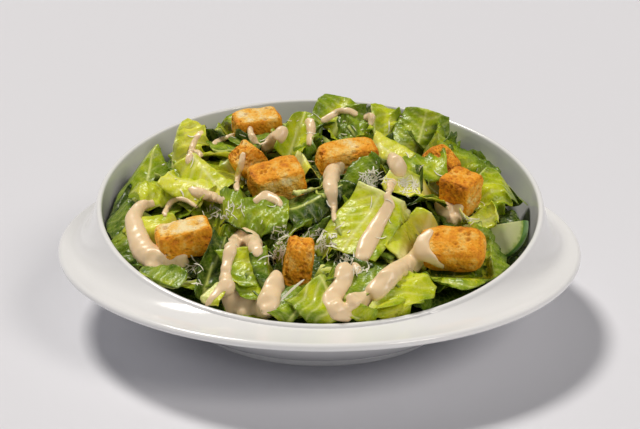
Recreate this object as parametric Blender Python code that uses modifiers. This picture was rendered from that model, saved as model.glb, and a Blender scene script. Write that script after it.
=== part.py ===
"""A caesar salad in its wide-brimmed porcelain bowl.

The bowl stands on a foot ring at z = 0, with its axis on Z. Its brim is level all the
way round, but its mouth is slanted: at the front (-Y) the lip lies level with the brim,
and at the back (+Y) it rises into a tall wall. The salad is one heap out to its uneven
outline, with croutons and a half slice of cucumber pressed into its top.
Lengths are in metres.
"""

from math import atan2, cos, pi, radians, sin

import bmesh
import bpy
from mathutils import Euler, Matrix, Vector, noise

MM = 0.001
TURN = 2.0 * pi

# The bowl's driving sizes.
RIM_RADIUS = 135.0 * MM
RIM_HEIGHT = 42.0 * MM
BRIM_THICKNESS = 3.8 * MM
LIP_OUTER_RADIUS = 115.2 * MM
LIP_THICKNESS = 3.2 * MM
LIP_MID_HEIGHT = 64.3 * MM
LIP_SLANT = 20.4 * MM
LIP_SADDLE = 1.0 * MM
BRIM_DISH = 0.6 * MM
FLARE_POWER = 3.2
FLARE_BUNCHING = 1.4
FLOOR_RADIUS = 62.0 * MM
FLOOR_HEIGHT = 7.2 * MM
BELLY_RADIUS = 107.5 * MM
BELLY_RISE = 27.8 * MM
BELLY_POWER = 1.3
BELLY_SLOPE = atan2(BELLY_RISE, BELLY_RADIUS - FLOOR_RADIUS)
UNDER_FOOT_RADIUS = 69.2 * MM
UNDER_RADIUS = 113.0 * MM
UNDER_FOOT_HEIGHT = 3.6 * MM
UNDER_RISE = 32.4 * MM
UNDER_BEND = 6.0 * MM
FOOT_RADIUS = 68.6 * MM
FOOT_WIDTH = 7.6 * MM
FOOT_EDGE = 0.4 * MM
FOOT_RECESS = 2.8 * MM
FOOT_RECESS_TAPER = 1.2 * MM
GROOVE_HEIGHT = 2.7 * MM

# How finely the round things are divided.
SEGMENTS = 64
BELLY_STEPS = 5
FLARE_STEPS = 5
HEAP_RINGS = 12
WALL_STEPS = 2
WALL_BOW = 0.6

# Clearance between the heap and the bowl, and between the heap and what is pressed in it.
GAP = 0.4 * MM
POCKET_GAP = 0.5 * MM

# The heap of leaves: a mound on the slanted plane of the mouth.
HEAP_CROWN = 15.0 * MM
HEAP_EDGE_DROP = 18.0 * MM
HEAP_EDGE_START = 0.70
HEAP_EDGE_POWER = 1.5
HEAP_LUMP = 7.0 * MM
HEAP_LUMP_SIZE = 21.0 * MM
HEAP_CRINKLE = 3.0 * MM
HEAP_CRINKLE_SIZE = 9.0 * MM
HEAP_UNDER_LIP = 1.2 * MM

# Beside a pressed-in piece the leaves stay below its middle and rise away from it.
CROUTON_HOLLOW = 2.0 * MM
CUCUMBER_HOLLOW = 6.0 * MM
HOLLOW_SLOPE = 1.2

# How far up a piece is swept to cut its pocket, which clears the heap's top.
POCKET_LIFT = 40.0 * MM

# Croutons: centre (x, y, z) and size (long, deep, tall) in mm, turns about X, Y, Z in
# degrees. Each is cut by hand, so no two are alike.
CROUTONS = {
    "crouton_1": ((-35, 61, 83), (25, 19, 16), (8, -5, 15)),
    "crouton_2": ((-38, 12, 80), (15, 13, 16), (8, -40, 30)),
    "crouton_3": ((-22, -13, 77), (27, 19, 18), (16, -9, 19)),
    "crouton_4": ((14, 12, 82), (32, 15, 15), (20, -2, 22)),
    "crouton_5": ((62, 14, 77), (17, 17, 16), (-8, 38, -35)),
    "crouton_6": ((71, -16, 73), (18, 17, 19), (10, 8, -35)),
    "crouton_7": ((-66, -54, 61), (27, 19, 15), (2, -10, 13)),
    "crouton_8": ((-10, -77, 58), (13, 14, 24), (8, 8, 5)),
    "crouton_9": ((64, -62, 60), (32, 20, 17), (38, 0, -5)),
}
CROUTON_CUTS = 3
CROUTON_SQUARENESS = 7.0
CROUTON_BUMP = 0.9 * MM
CROUTON_BUMP_SIZE = 6.0 * MM

# The half slice of cucumber: the middle of its straight cut edge, and its turns.
CUCUMBER_RADIUS = 17.0 * MM
CUCUMBER_THICKNESS = 6.5 * MM
CUCUMBER_PLACE = (88.0 * MM, -29.0 * MM, 60.0 * MM)
CUCUMBER_TURNS = (-22.0, -18.0, -24.0)
CUCUMBER_STEPS = 20
CUCUMBER_ROUNDING = 0.8 * MM


def clear_scene():
    for old in list(bpy.data.objects):
        bpy.data.objects.remove(old, do_unlink=True)


def new_collection(name, hidden=False):
    collection = bpy.data.collections.new(name)
    bpy.context.scene.collection.children.link(collection)
    collection.hide_render = hidden
    return collection


def new_material(name, color, roughness):
    material = bpy.data.materials.new(name)
    material.use_nodes = True
    shader = material.node_tree.nodes["Principled BSDF"]
    shader.inputs["Base Color"].default_value = (*color, 1.0)
    shader.inputs["Roughness"].default_value = roughness
    shader.inputs["Metallic"].default_value = 0.0
    material.diffuse_color = (*color, 1.0)
    return material


def new_object(name, bm, collection, material=None, sharp_angle=40.0):
    """An object from a bmesh, with its faces turned outward and its round sides smooth."""
    bmesh.ops.recalc_face_normals(bm, faces=bm.faces)
    mesh = bpy.data.meshes.new(name)
    bm.to_mesh(mesh)
    bm.free()
    mesh.shade_smooth()
    mesh.set_sharp_from_angle(angle=radians(sharp_angle))
    if material:
        mesh.materials.append(material)
    made = bpy.data.objects.new(name, mesh)
    collection.objects.link(made)
    return made


def lip_height(angle):
    """Height of the lip's top at this angle round the bowl, from +X."""
    return LIP_MID_HEIGHT + LIP_SLANT * sin(angle) + LIP_SADDLE * cos(2.0 * angle)


def belly_point(share, inset=0.0):
    """A point of the sloping inner side, inset from the porcelain: (radius, height)."""
    radius = FLOOR_RADIUS + (BELLY_RADIUS - FLOOR_RADIUS) * share
    height = FLOOR_HEIGHT + BELLY_RISE * share**BELLY_POWER
    return radius - inset * sin(BELLY_SLOPE), height + inset * cos(BELLY_SLOPE)


def inner_side(angle, inset=0.0):
    """The inner side from the floor's edge to just under the lip, as (radius, height)."""
    points = [belly_point(step / BELLY_STEPS, inset) for step in range(BELLY_STEPS + 1)]
    low_radius, low_height = points[-1]
    top_radius = LIP_OUTER_RADIUS - LIP_THICKNESS - inset
    top_height = lip_height(angle) - 0.5 * LIP_THICKNESS
    for step in range(1, WALL_STEPS + 1):
        share = step / WALL_STEPS
        radius = low_radius + (top_radius - low_radius) * share**WALL_BOW
        points.append((radius, low_height + (top_height - low_height) * share))
    return points


def outer_side(angle):
    """From the lip down its outer side, over the brim and back under it to the foot."""
    lip = lip_height(angle)
    middle = LIP_OUTER_RADIUS - 0.5 * LIP_THICKNESS
    points = [
        (middle - 0.3 * LIP_THICKNESS, lip - 0.08 * LIP_THICKNESS),
        (middle + 0.2 * LIP_THICKNESS, lip - 0.04 * LIP_THICKNESS),
    ]
    brim_edge = RIM_RADIUS - 0.5 * BRIM_THICKNESS
    side_top = max(lip - 0.5 * LIP_THICKNESS, RIM_HEIGHT - 0.5 * LIP_THICKNESS)
    for step in range(FLARE_STEPS + 1):
        share = (step / FLARE_STEPS) ** FLARE_BUNCHING
        radius = LIP_OUTER_RADIUS + (brim_edge - LIP_OUTER_RADIUS) * share
        flare = (1.0 - share) ** FLARE_POWER
        dish = BRIM_DISH * sin(pi * share)
        points.append((radius, RIM_HEIGHT + (side_top - RIM_HEIGHT) * flare - dish))
    points.append((RIM_RADIUS - 0.12 * BRIM_THICKNESS, RIM_HEIGHT - 0.2 * BRIM_THICKNESS))
    points.append((RIM_RADIUS, RIM_HEIGHT - 0.5 * BRIM_THICKNESS))
    points.append((RIM_RADIUS - 0.2 * BRIM_THICKNESS, RIM_HEIGHT - 0.85 * BRIM_THICKNESS))
    points.append((RIM_RADIUS - 0.6 * BRIM_THICKNESS, RIM_HEIGHT - BRIM_THICKNESS))
    points.append((UNDER_RADIUS + UNDER_BEND, RIM_HEIGHT - 1.2 * BRIM_THICKNESS))
    for step in range(BELLY_STEPS + 1):
        share = 1.0 - step / BELLY_STEPS
        radius = UNDER_FOOT_RADIUS + (UNDER_RADIUS - UNDER_FOOT_RADIUS) * share
        points.append((radius, UNDER_FOOT_HEIGHT + UNDER_RISE * share**BELLY_POWER))
    return points


def foot_side():
    """The groove above the foot, the foot's flat ring and the recess inside it."""
    inner = FOOT_RADIUS - FOOT_WIDTH
    return [
        (FOOT_RADIUS, GROOVE_HEIGHT),
        (FOOT_RADIUS, FOOT_EDGE),
        (FOOT_RADIUS - FOOT_EDGE, 0.0),
        (inner + FOOT_EDGE, 0.0),
        (inner, FOOT_EDGE),
        (inner - FOOT_RECESS_TAPER, FOOT_RECESS),
    ]


def place(radius, angle, height):
    return Vector((radius * cos(angle), radius * sin(angle), height))


def loft_round(bm, section, low_centre, high_centre):
    """Rings of vertices joined round the Z axis, closed by a fan to a point at each end."""
    rings = []
    for turn in range(SEGMENTS):
        angle = TURN * turn / SEGMENTS
        rings.append([bm.verts.new(place(r, angle, z)) for r, z in section(angle)])
    first = bm.verts.new((0.0, 0.0, low_centre))
    last = bm.verts.new((0.0, 0.0, high_centre))
    for turn, ring in enumerate(rings):
        beside = rings[(turn + 1) % SEGMENTS]
        bm.faces.new((first, ring[0], beside[0]))
        bm.faces.new((last, beside[-1], ring[-1]))
        for step in range(len(ring) - 1):
            bm.faces.new((ring[step], ring[step + 1], beside[step + 1], beside[step]))


def make_bowl(collection):
    bm = bmesh.new()
    loft_round(
        bm,
        lambda angle: inner_side(angle) + outer_side(angle) + foot_side(),
        FLOOR_HEIGHT,
        FOOT_RECESS,
    )
    glaze = new_material("porcelain", (0.83, 0.82, 0.80), 0.12)
    return new_object("bowl", bm, collection, glaze)


def hollow_height(x, y):
    """The highest that the leaves may lie here beside the pieces pressed into them."""
    lowest = RIM_RADIUS
    for centre, size, _ in CROUTONS.values():
        across = Vector((x, y)) - Vector(centre[:2]) * MM
        beyond = max(0.0, across.length - 0.5 * MM * size[0])
        lowest = min(lowest, centre[2] * MM - CROUTON_HOLLOW + HOLLOW_SLOPE * beyond)
    across = Vector((x, y)) - Vector(CUCUMBER_PLACE[:2])
    beyond = max(0.0, across.length - CUCUMBER_RADIUS)
    return min(lowest, CUCUMBER_PLACE[2] - CUCUMBER_HOLLOW + HOLLOW_SLOPE * beyond)


def heap_height(x, y):
    """The mound's top: the mouth's slanted plane, a crown, a dip at the wall and lumps."""
    wall = LIP_OUTER_RADIUS - LIP_THICKNESS
    out = min(1.0, (x * x + y * y) ** 0.5 / wall)
    frontness = min(1.0, max(0.0, -y / wall))
    dip = max(0.0, (out - HEAP_EDGE_START) / (1.0 - HEAP_EDGE_START)) ** HEAP_EDGE_POWER
    lump = HEAP_LUMP * noise.noise(Vector((x, y, 0.1)) / HEAP_LUMP_SIZE)
    crinkle = HEAP_CRINKLE * noise.noise(Vector((x, y, 0.3)) / HEAP_CRINKLE_SIZE)
    top = (
        LIP_MID_HEIGHT
        + LIP_SLANT * y / LIP_OUTER_RADIUS
        + HEAP_CROWN * (1.0 - out * out)
        - HEAP_EDGE_DROP * (1.0 - frontness) * dip
        + lump
        + crinkle
    )
    return min(top, hollow_height(x, y))


def wall_radius(side, height):
    """Radius of a side, given as (radius, height) points going up, at this height."""
    for (low_r, low_z), (high_r, high_z) in zip(side, side[1:]):
        if height <= high_z:
            return low_r + (high_r - low_r) * (height - low_z) / (high_z - low_z)
    return side[-1][0]


def heap_side(angle):
    """The heap's section at this angle: under its edge along the bowl, then over its top."""
    side = inner_side(angle, GAP)
    edge_radius = side[-1][0] - GAP
    edge = heap_height(edge_radius * cos(angle), edge_radius * sin(angle))
    edge = min(edge, side[-1][1] - HEAP_UNDER_LIP)
    edge_radius = wall_radius(side, edge) - GAP
    points = side[: BELLY_STEPS + 1]
    points.append((edge_radius, edge))
    for ring in range(HEAP_RINGS - 1, 0, -1):
        radius = edge_radius * ring / HEAP_RINGS
        points.append((radius, heap_height(radius * cos(angle), radius * sin(angle))))
    return points


def rounded_block(bm, size, seed):
    """A block with worn, uneven sides, centred on the origin."""
    bmesh.ops.create_cube(bm, size=2.0)
    bmesh.ops.subdivide_edges(bm, edges=bm.edges, cuts=CROUTON_CUTS, use_grid_fill=True)
    for vertex in bm.verts:
        flat = max(abs(value) for value in vertex.co)
        total = sum(abs(value) ** CROUTON_SQUARENESS for value in vertex.co)
        unit = vertex.co * (flat / total ** (1.0 / CROUTON_SQUARENESS))
        spot = Vector([unit[axis] * 0.5 * size[axis] for axis in range(3)])
        bump = CROUTON_BUMP * noise.noise(spot / CROUTON_BUMP_SIZE + Vector((seed, 0, 0)))
        vertex.co = spot + unit.normalized() * bump


def half_disc(bm, radius, half_width):
    """A half disc standing on edge: straight cut edge on top, the round skin below."""
    bow = [-pi * step / CUCUMBER_STEPS for step in range(CUCUMBER_STEPS + 1)]
    front = bm.faces.new(
        [bm.verts.new((radius * cos(a), -half_width, radius * sin(a))) for a in bow]
    )
    grown = bmesh.ops.extrude_face_region(bm, geom=[front])["geom"]
    moved = [item for item in grown if isinstance(item, bmesh.types.BMVert)]
    bmesh.ops.translate(bm, vec=(0.0, 2.0 * half_width, 0.0), verts=moved)


def pose(place_at, turns):
    spin = Euler([radians(turn) for turn in turns]).to_matrix().to_4x4()
    return Matrix.Translation(place_at) @ spin


def make_crouton(name, seed, collection, material):
    centre, size, turns = CROUTONS[name]
    bm = bmesh.new()
    rounded_block(bm, [side * MM for side in size], seed)
    made = new_object(name, bm, collection, material)
    made.matrix_world = pose(Vector(centre) * MM, turns)
    return made


def make_cucumber(collection, material):
    bm = bmesh.new()
    half_disc(bm, CUCUMBER_RADIUS, 0.5 * CUCUMBER_THICKNESS)
    made = new_object("cucumber_slice", bm, collection, material, sharp_angle=30.0)
    made.matrix_world = pose(CUCUMBER_PLACE, CUCUMBER_TURNS)
    bevel = made.modifiers.new("soft_edges", "BEVEL")
    bevel.width = CUCUMBER_ROUNDING
    bevel.segments = 2
    return made


def pressed_shape(piece):
    """The hull of a piece, a little grown, and of the same piece lifted clear of the heap."""
    grow = 1.0 + 2.0 * POCKET_GAP / min(piece.dimensions)
    points = [piece.matrix_world @ (grow * v.co) for v in piece.data.vertices]
    bm = bmesh.new()
    for point in points:
        bm.verts.new(point)
        bm.verts.new(point + Vector((0.0, 0.0, POCKET_LIFT)))
    bmesh.ops.convex_hull(bm, input=bm.verts)
    inside = [vertex for vertex in bm.verts if not vertex.link_faces]
    bmesh.ops.delete(bm, geom=inside, context="VERTS")
    return bm


def press_in(heap, piece, cutters):
    """Cuts from the heap the pocket that a piece makes when it is pressed down into it."""
    cutter = new_object(piece.name + "_pocket", pressed_shape(piece), cutters)
    cutter.display_type = "WIRE"
    cutter.hide_render = True
    cut = heap.modifiers.new(cutter.name, "BOOLEAN")
    cut.operation = "DIFFERENCE"
    cut.object = cutter


def make_salad(collection, cutters):
    bm = bmesh.new()
    loft_round(bm, heap_side, FLOOR_HEIGHT + GAP, heap_height(0.0, 0.0))
    leaf = new_material("romaine", (0.20, 0.36, 0.06), 0.45)
    heap = new_object("salad_heap", bm, collection, leaf)
    crust = new_material("toasted_bread", (0.72, 0.34, 0.08), 0.8)
    pieces = [make_crouton(name, seed, collection, crust) for seed, name in enumerate(CROUTONS)]
    flesh = new_material("cucumber", (0.62, 0.72, 0.36), 0.35)
    pieces.append(make_cucumber(collection, flesh))
    bpy.context.view_layer.update()
    for piece in pieces:
        press_in(heap, piece, cutters)


def main():
    clear_scene()
    parts = new_collection("caesar_salad")
    cutters = new_collection("cutters", hidden=True)
    make_bowl(parts)
    make_salad(parts, cutters)


main()
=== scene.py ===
"""Looks of a caesar salad in its wide-brimmed porcelain bowl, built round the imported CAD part.

Lengths in the tables are in millimetres, turns in degrees. The bowl's foot stands at
z = 0, the front of the salad is at -Y.
"""

from math import cos, pi, radians, sin

import bmesh
import bpy
import numpy as np
from mathutils import Euler, Matrix, Vector
from mathutils.bvhtree import BVHTree


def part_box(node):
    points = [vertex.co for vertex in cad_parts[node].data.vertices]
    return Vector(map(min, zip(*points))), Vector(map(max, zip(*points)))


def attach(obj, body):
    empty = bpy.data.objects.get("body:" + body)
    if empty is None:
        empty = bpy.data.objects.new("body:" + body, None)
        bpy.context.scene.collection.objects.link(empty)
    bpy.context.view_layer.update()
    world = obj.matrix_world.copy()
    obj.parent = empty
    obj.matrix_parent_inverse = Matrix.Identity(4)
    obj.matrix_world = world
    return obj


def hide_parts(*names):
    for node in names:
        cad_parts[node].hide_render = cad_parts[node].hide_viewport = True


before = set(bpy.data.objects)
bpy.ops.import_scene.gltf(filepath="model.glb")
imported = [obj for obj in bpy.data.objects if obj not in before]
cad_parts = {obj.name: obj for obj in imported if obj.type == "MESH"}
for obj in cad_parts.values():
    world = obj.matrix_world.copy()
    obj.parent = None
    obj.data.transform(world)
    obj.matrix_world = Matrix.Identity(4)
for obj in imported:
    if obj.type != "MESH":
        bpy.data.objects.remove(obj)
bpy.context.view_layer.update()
MM = 0.001

# ----- camera: place in metres, degrees down and rolled, lens in mm
CAMERA_AT = (0.00003, -0.79495, 0.34672)
CAMERA_DOWN = 20.19
CAMERA_ROLL = 0.51
CAMERA_LENS = 91.74

# ----- the bowl's sizes, mm
RIM_RADIUS = 135.0
RIM_HEIGHT = 42.0
BRIM_THICKNESS = 3.8
LIP_OUTER_RADIUS = 115.2
LIP_THICKNESS = 3.2
LIP_MID_HEIGHT = 64.3
LIP_SLANT = 20.4
LIP_SADDLE = 1.0
BRIM_DISH = 0.6
FLARE_POWER = 3.2
FLOOR_RADIUS = 62.0
FLOOR_HEIGHT = 7.2
BELLY_RADIUS = 107.5
BELLY_RISE = 27.8
BELLY_POWER = 1.3
BELLY_TOP = FLOOR_HEIGHT + BELLY_RISE
WALL_POWER = 0.6
INNER_LIP_RADIUS = LIP_OUTER_RADIUS - LIP_THICKNESS
UNDER_FOOT_RADIUS = 69.2
UNDER_RADIUS = 113.0
UNDER_FOOT_HEIGHT = 3.6
UNDER_RISE = 32.4
FOOT_RADIUS = 68.6
FOOT_WIDTH = 7.6
FOOT_RECESS = 2.8
BOWL_TURNS = 288
# The mound that the leaves follow: how far it rises in the middle, how far it sinks at the
# side and back walls, and from which share of the radius it does.
HEAP_CROWN = 15.0
HEAP_EDGE_DROP = 18.0
HEAP_EDGE_START = 0.70

# Croutons: size (long, deep, tall) and turns as in the CAD model; how brown the top, the
# front, the right, the left and the underside are, from 0 (crumb) to 1 (dark crust). These
# are partly the toast's own colour and partly painted light: faces that catch the light are
# painted paler, shaded faces darker.
CROUTONS = {
    "crouton_1": ((25, 19, 16), (8, -5, 15), (0.22, 0.60, 0.50, 0.45, 0.9)),
    "crouton_2": ((15, 13, 16), (8, -40, 30), (0.42, 0.40, 0.45, 0.40, 0.7)),
    "crouton_3": ((27, 19, 18), (16, -9, 19), (0.50, 0.30, 0.40, 0.50, 0.7)),
    "crouton_4": ((32, 15, 15), (20, -2, 22), (0.34, 0.36, 0.70, 0.45, 0.7)),
    "crouton_5": ((17, 17, 16), (-8, 38, -35), (0.62, 0.66, 0.60, 0.60, 0.7)),
    "crouton_6": ((18, 17, 19), (10, 8, -35), (0.56, 0.60, 0.36, 0.60, 0.7)),
    "crouton_7": ((27, 19, 15), (2, -10, 13), (0.12, 0.52, 0.55, 0.42, 0.8)),
    "crouton_8": ((13, 14, 24), (8, 8, 5), (0.50, 0.46, 0.56, 0.50, 0.6)),
    "crouton_9": ((32, 20, 17), (38, 0, -5), (0.52, 0.55, 0.52, 0.50, 0.6)),
}

# Power of the rounded box a crouton is cut from: the lower, the rounder.
USUAL_SQUARENESS = 7.0
SQUARENESS = {"crouton_9": 3.6, "crouton_4": 5.0}
CROUTON_CUTS = 46
CROUTON_PORES = 520

CUCUMBER_RADIUS = 17.0
CUCUMBER_THICKNESS = 6.5
CUCUMBER_PLACE = (88.0, -29.0, 60.0)
CUCUMBER_TURNS = (-22.0, -18.0, -24.0)
CUCUMBER_INSETS = (0.955, 0.90, 0.8, 0.66, 0.5, 0.34, 0.2, 0.08)

# Styles of cut romaine: fold along the midrib, bend along and across (degrees over the
# piece), blister and ruffle heights, half width of the rib, how much the tip narrows,
# spacing, paleness and width of the side veins, how pale the cut end is, and where the rib
# may lie across the piece.
STYLE_KEYS = "fold along across blister ruffle rib tip vein pale thick cut at".split()
STYLES = {
    "smooth": (0.10, 34, -34, 0.40, 1.0, 0.8, 0.30, 6.0, 0.45, 0.62, 0, (-1.3, 1.2, 0.4, 0.7)),
    "crinkled": (0.22, 40, -50, 1.25, 2.6, 0.8, 0.15, 4.6, 0.42, 0.62, 0, (-1.4, 1.3, 1.0)),
    "frilly": (0.20, -35, 35, 0.9, 4.0, 1.2, 0.15, 5.5, 0.50, 0.62, 0, (-0.9, 0.9, 0.3)),
    "pointed": (0.12, 30, -34, 0.30, 0.6, 0.9, 0.62, 6.5, 0.40, 0.62, 0, (0.1,)),
    "veined": (0.16, 36, -36, 0.40, 0.9, 1.0, 0.10, 5.4, 0.85, 0.70, 0, (0.0, 0.3, -0.7)),
    "heart": (0.10, 30, -30, 0.30, 0.2, 1.0, -0.15, 5.6, 0.85, 0.75, 1.0, (0.05,)),
    "folded": (0.95, 30, 20, 0.5, 1.2, 0.8, 0.30, 6.0, 0.35, 0.62, 0, (0.0, 0.2)),
    "rib": (0.25, 40, 55, 0.3, 0.8, 3.2, 0.20, 5.0, 0.5, 0.62, 0, (0.0, 0.5, -0.6)),
    "curled": (0.10, 160, 35, 0.5, 1.0, 1.4, 0.10, 5.0, 0.55, 0.62, 0, (0.2,)),
}

# Leaves that are seen whole: centre, size (long, wide), spin in the view, pitch and yaw of
# the face, tone from 0 (pale heart) to 1 (dark outer leaf), style. A + after the style
# keeps the leaf from being pressed down by croutons.
LEAVES = [
    ((-91, 13, 71), (38, 38), (82, 28, -15), 0.54, "pointed"),
    ((-79, -9, 72), (34, 18), (35, 52, 0), 0.38, "crinkled"),
    ((-99, -21, 61), (25, 22), (115, 42, -20), 0.74, "frilly"),
    ((-70, 40, 80), (28, 17), (82, 20, -10), 0.10, "frilly"),
    ((-57, -8, 78), (32, 24), (-55, 35, -10), 0.22, "veined"),
    ((-68, -14, 74), (26, 17), (150, 40, 0), 0.10, "veined"),
    ((-39, -46, 72), (50, 24), (-4, 38, 0), 0.52, "crinkled"),
    ((-83, -40, 63), (25, 20), (10, 45, -10), 0.22, "smooth"),
    ((-77, -80, 52), (30, 20), (-18, 45, -10), 0.60, "smooth"),
    ((-51, -80, 58), (38, 16), (74, 22, 20), 0.88, "folded"),
    ((-33, -87, 56), (32, 22), (-68, 35, 0), 0.46, "smooth"),
    ((-22, -88, 58), (28, 18), (-76, 30, 25), 0.72, "smooth"),
    ((-50, -99, 50), (22, 10), (60, 35, 0), 0.20, "rib"),
    ((0, -107, 50), (27, 22), (-56, 30, 10), 0.45, "veined"),
    ((-16, -108, 48), (26, 16), (60, 35, 0), 0.60, "smooth"),
    ((21.5, -57, 71), (38, 30), (238, 33, -8), 0.28, "heart"),
    ((20, -16, 78), (34, 18), (72, 25, 0), 0.66, "smooth"),
    ((-4, -34, 73), (34, 18), (30, 40, 0), 0.90, "folded"),
    ((-6, -27, 79), (19, 5), (30, 40, 0), 0.12, "rib"),
    ((-13, 33, 88), (30, 18), (76, 25, 10), 0.34, "folded"),
    ((8, 62, 91), (24, 24), (70, 20, 0), 0.46, "frilly"),
    ((18, 50, 86), (26, 22), (100, 30, 0), 0.60, "crinkled"),
    ((36, 54, 88), (24, 18), (98, 25, 0), 0.34, "frilly"),
    ((53, 44, 82), (34, 32), (74, 24, 5), 0.50, "veined"),
    ((76, 26, 77), (42, 26), (-42, 42, 10), 0.60, "crinkled"),
    ((50.5, -1, 81), (32, 20), (190, 45, 0), 0.50, "smooth+"),
    ((87, -8, 69), (32, 22), (62, 30, -5), 0.40, "frilly"),
    ((83, -62, 57), (36, 26), (-62, 42, 15), 0.64, "crinkled"),
    ((48, -20, 76), (36, 22), (-25, 45, 0), 0.10, "rib"),
    ((79, -33, 67), (30, 13), (10, 35, 0), 0.15, "curled"),
    ((40, -98, 51), (32, 26), (62, 42, 0), 0.30, "frilly"),
    ((64, -81, 53), (38, 15), (-14, 60, 0), 0.58, "folded"),
    ((1, -91, 57), (28, 18), (100, 35, 0), 0.56, "folded"),
    ((17, -92, 55), (30, 20), (20, 45, 0), 0.66, "smooth"),
    ((19, -111, 47), (22, 14), (-40, 40, 0), 0.40, "folded"),
    ((-4, 2, 83), (20, 12), (-4, 40, 0), 0.05, "rib"),
    ((46, -60, 65), (32, 20), (58, 35, 0), 0.20, "rib"),
    ((-43, 34, 82), (34, 16), (16, 60, 0), 0.64, "smooth"),
    ((-50, 60, 83), (24, 14), (80, 25, 0), 0.40, "frilly"),
    ((-92, -48, 54), (36, 18), (-58, 45, -15), 0.66, "crinkled"),
    ((36, 22, 82), (24, 15), (-40, 40, 0), 0.12, "veined"),
]
LEAF_STEP = 1.1
HEART_TONE = 0.45
# Leaf points level off softly above this height, this far over the mound's edge, and this
# near the bowl's wall.
TOP_SOFT = 97.0
EDGE_ROOF = 4.0
WALL_GAP = 2.4

# Smaller leaves that fill the heap under and between those. Their tones lean dark, partly
# their own green and partly painted shade for the gaps between the leaves on top.
FILLERS = 120
FILLER_SEED = 11
FILLER_STEP = 1.7
FILLER_REACH = 100.0
FILLER_STYLES = "smooth smooth crinkled frilly veined folded rib".split()
FILLER_TONES = (0.36, 0.52, 0.64, 0.74, 0.82, 0.90, 0.96)
GOLDEN_TURN = 2.39996
# The core under the leaves: how much narrower and lower than the CAD heap, and its tone,
# dark green as painted shade deep in the heap.
CORE_SHRINK = 0.965
CORE_DROP = 9.0
CORE_SHADE_TONE = 0.92


def mix(a, b, share):
    return a + (b - a) * share


def smooth_step(value):
    value = np.clip(value, 0.0, 1.0)
    return value * value * (3.0 - 2.0 * value)


def waves(x, y, size, chance, count=5):
    """Smooth unevenness from -1 to 1: a few sine waves that cross at random angles."""
    total = 0.0
    for _ in range(count):
        angle = chance.uniform(0.0, 2.0 * pi)
        rate = 2.0 * pi / (size * chance.uniform(0.7, 1.5))
        phase = chance.uniform(0.0, 2.0 * pi)
        total = total + np.sin((x * cos(angle) + y * sin(angle)) * rate + phase)
    return total / count**0.5 * 0.8


def ripples(x, size, chance):
    """Waves that run along one direction only."""
    return waves(x, 0.0 * x, size, chance)


def softened(values, reach):
    """The running mean over this many neighbours on each side."""
    span = 2 * reach + 1
    return np.convolve(np.pad(values, reach, mode="edge"), np.ones(span) / span, "valid")


# ----- materials


class Nodes:
    """A short way to write a node material."""

    def __init__(self, name):
        self.material = bpy.data.materials.new(name)
        self.material.use_nodes = True
        self.tree = self.material.node_tree

    def fill(self, node, inputs):
        for key, value in inputs.items():
            if isinstance(value, bpy.types.NodeSocket):
                self.tree.links.new(value, node.inputs[key])
            else:
                node.inputs[key].default_value = value

    def add(self, kind, inputs, **settings):
        node = self.tree.nodes.new("ShaderNode" + kind)
        for key, value in settings.items():
            setattr(node, key, value)
        self.fill(node, inputs)
        return node

    def math(self, operation, a, b, clamp=False):
        node = self.add("Math", {0: a, 1: b}, operation=operation, use_clamp=clamp)
        return node.outputs[0]

    def plus(self, base, value, amount, clamp=False):
        """base + value * amount."""
        return self.math("ADD", base, self.math("MULTIPLY", value, amount), clamp)

    def swing(self, base, value, amount, clamp=False):
        """base + (value - 0.5) * amount, for a noise value."""
        return self.plus(base, self.math("SUBTRACT", value, 0.5), amount, clamp)

    def mixed(self, share, a, b):
        """From colour a to colour b; each is a socket or three numbers."""
        a, b = [(*color, 1.0) if isinstance(color, tuple) else color for color in (a, b)]
        return self.add("Mix", {0: share, 6: a, 7: b}, data_type="RGBA").outputs[2]

    def ramp(self, value, *stops):
        node = self.add("ValToRGB", {"Fac": value})
        elements = node.color_ramp.elements
        while len(elements) < len(stops):
            elements.new(0.5)
        for element, (at, color) in zip(elements, stops):
            element.position = at
            element.color = (*color, 1.0)
        return node.outputs["Color"]

    def attribute(self, name, output):
        return self.add("Attribute", {}, attribute_name=name).outputs[output]

    def paint(self):
        """The three values painted on the piece's points."""
        color = self.attribute("paint", "Color")
        return list(self.add("SeparateColor", {"Color": color}).outputs)

    def place(self):
        return self.add("TexCoord", {}).outputs["Object"]

    def noise(self, vector, scale, detail, rough=0.5):
        inputs = {"Vector": vector, "Scale": scale, "Detail": detail, "Roughness": rough}
        return self.add("TexNoise", inputs).outputs["Fac"]

    def voronoi(self, vector, scale, feature="F1"):
        inputs = {"Vector": vector, "Scale": scale}
        return self.add("TexVoronoi", inputs, feature=feature).outputs["Distance"]

    def bump(self, height, distance, strength):
        inputs = {"Height": height, "Distance": distance, "Strength": strength}
        return self.add("Bump", inputs).outputs["Normal"]

    def finish(self, **inputs):
        shader = self.tree.nodes["Principled BSDF"]
        self.fill(shader, {key.replace("_", " "): value for key, value in inputs.items()})
        return self.material


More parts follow.
